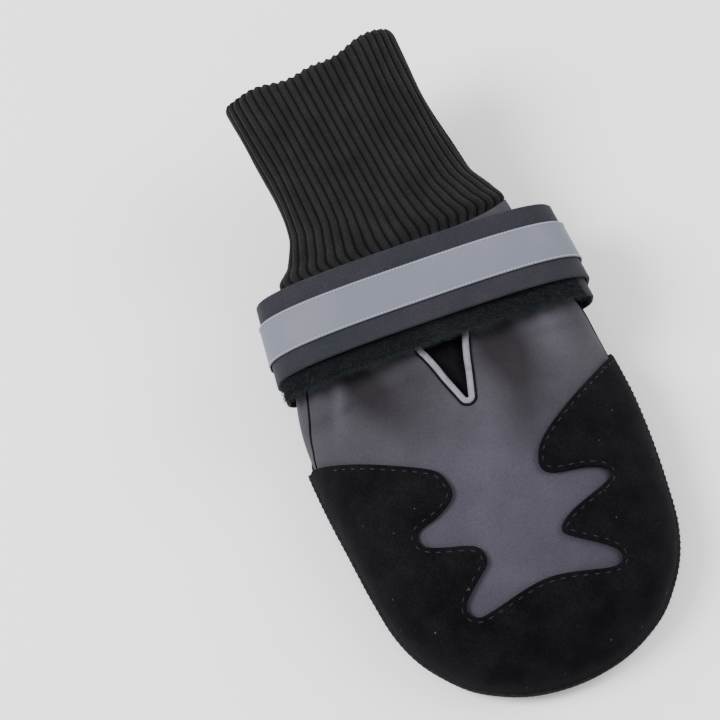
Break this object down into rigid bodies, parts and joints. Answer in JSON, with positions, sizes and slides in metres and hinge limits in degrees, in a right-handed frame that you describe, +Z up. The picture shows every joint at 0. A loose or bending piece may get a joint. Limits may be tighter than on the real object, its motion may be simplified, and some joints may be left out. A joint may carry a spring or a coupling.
{
  "type": "dog shoe",
  "caption": "Soft dog boot: flat black leather sole, grey stretch upper, toe overlay with a star-shaped cut-out, throat notch, reflective strap and ribbed knit cuff.",
  "frame": {"origin": "middle of the sole's flat underside, on the floor", "axes": "+X across the foot, toe towards -Y, shaft and cuff towards +Y, +Z up"},
  "size_m": [0.0998, 0.2023, 0.0554],
  "materials": {
    "black_suede": "napped suede, for the sole and the toe overlay",
    "black_lining": "matt black felt",
    "grey_softshell": "matt grey stretch fabric",
    "black_stretch": "matt black stretch fabric",
    "grey_piping": "pale grey woven piping",
    "black_rib_knit": "black ribbed knit",
    "black_pile": "fuzzy loop pile",
    "charcoal_webbing": "woven charcoal webbing",
    "silver_tape": "silver-grey reflective tape"
  },
  "bodies": {
    "root": {"outsole": "black_suede", "insole": "black_lining", "upper": "grey_softshell", "toe_overlay": "black_suede", "throat_gusset": "black_stretch", "throat_piping": "grey_piping", "rib_cuff": "black_rib_knit", "strap_base": "grey_softshell", "strap_pile": "black_pile", "strap_flap": "charcoal_webbing", "reflective_tape": "silver_tape"}
  },
  "joints": []
}
